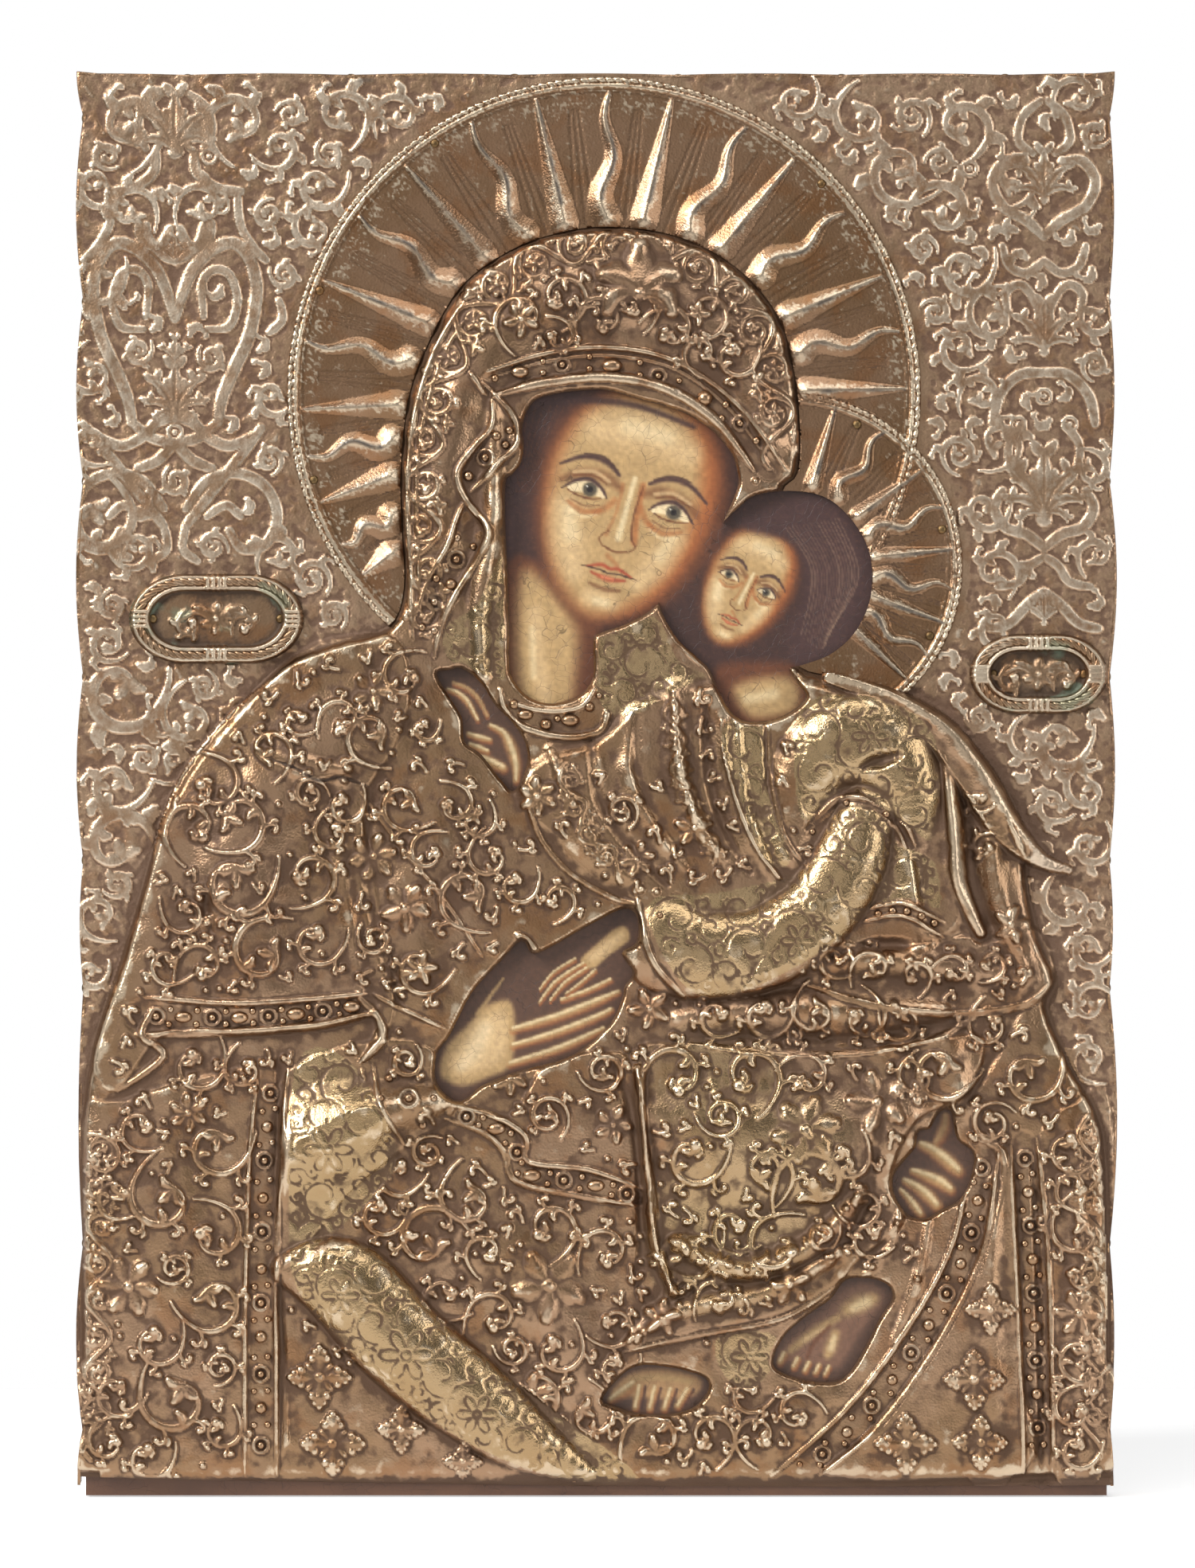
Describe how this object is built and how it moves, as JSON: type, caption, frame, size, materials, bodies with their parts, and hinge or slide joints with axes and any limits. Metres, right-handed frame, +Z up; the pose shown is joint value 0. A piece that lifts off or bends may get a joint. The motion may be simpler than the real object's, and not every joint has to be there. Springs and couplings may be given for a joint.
{
  "type": "oklad icon cover",
  "caption": "Chased metal icon cover of a veiled mother and child, with rayed halos, nailed over a painted wooden panel, with open cut-outs and a hanging ring at the back.",
  "frame": {"origin": "middle of the panel's bottom edge, half way through the wood", "axes": "+X across the panel to the viewer's right, +Z up, the picture faces -Y"},
  "size_m": [0.3304, 0.0478, 0.4519],
  "materials": {
    "cover_metal": "aged silver gilt, satin, brown patina in the recesses, pale worn heights",
    "halo_metal": "aged silver gilt, satin, dark tarnish along the ray ridges",
    "plate_metal": "dark tarnished silver gilt with a little green corrosion",
    "nail_metal": "dull tarnished brass",
    "painted_gesso": "old tempera on gesso under varnish, ochre flesh, brown shadows, fine cracks",
    "plank_wood": "old dark lime wood, upright grain, worn edges",
    "batten_wood": "old dark oak, grain along the batten",
    "iron": "forged iron, dark, slightly rusted"
  },
  "bodies": {
    "icon": {"board_left": "plank_wood", "board_middle": "plank_wood", "board_right": "plank_wood", "batten_upper": "batten_wood", "batten_lower": "batten_wood", "gesso_ground": "painted_gesso", "cover_sheet": "cover_metal", "halo_mother": "halo_metal", "halo_child": "halo_metal", "cartouche_left": "plate_metal", "cartouche_right": "plate_metal", "nail_top_1": "nail_metal", "nail_top_2": "nail_metal", "nail_top_3": "nail_metal", "nail_top_4": "nail_metal", "nail_top_5": "nail_metal", "nail_top_6": "nail_metal", "nail_left_1": "nail_metal", "nail_left_2": "nail_metal", "nail_left_3": "nail_metal", "nail_left_4": "nail_metal", "nail_left_5": "nail_metal", "nail_left_6": "nail_metal", "nail_left_7": "nail_metal", "nail_left_8": "nail_metal", "nail_right_1": "nail_metal", "nail_right_2": "nail_metal", "nail_right_3": "nail_metal", "nail_right_4": "nail_metal", "nail_right_5": "nail_metal", "nail_right_6": "nail_metal", "nail_right_7": "nail_metal", "nail_right_8": "nail_metal", "rivet_halo_mother_1": "nail_metal", "rivet_halo_mother_2": "nail_metal", "rivet_halo_mother_3": "nail_metal", "rivet_halo_mother_4": "nail_metal", "rivet_halo_child_1": "nail_metal", "rivet_halo_child_2": "nail_metal", "rivet_halo_child_3": "nail_metal", "rivet_cartouche_left_1": "nail_metal", "rivet_cartouche_left_2": "nail_metal", "rivet_cartouche_right_1": "nail_metal", "rivet_cartouche_right_2": "nail_metal", "hanger_staple": "iron"},
    "ring": {"hanger_ring": "iron"}
  },
  "joints": [
    {"name": "ring_swing", "type": "hinge", "parent": "icon", "child": "ring", "pos_m": [0, 0.0146, 0.40973], "axis": [1, 0, 0], "range_deg": [0, 175]}
  ]
}
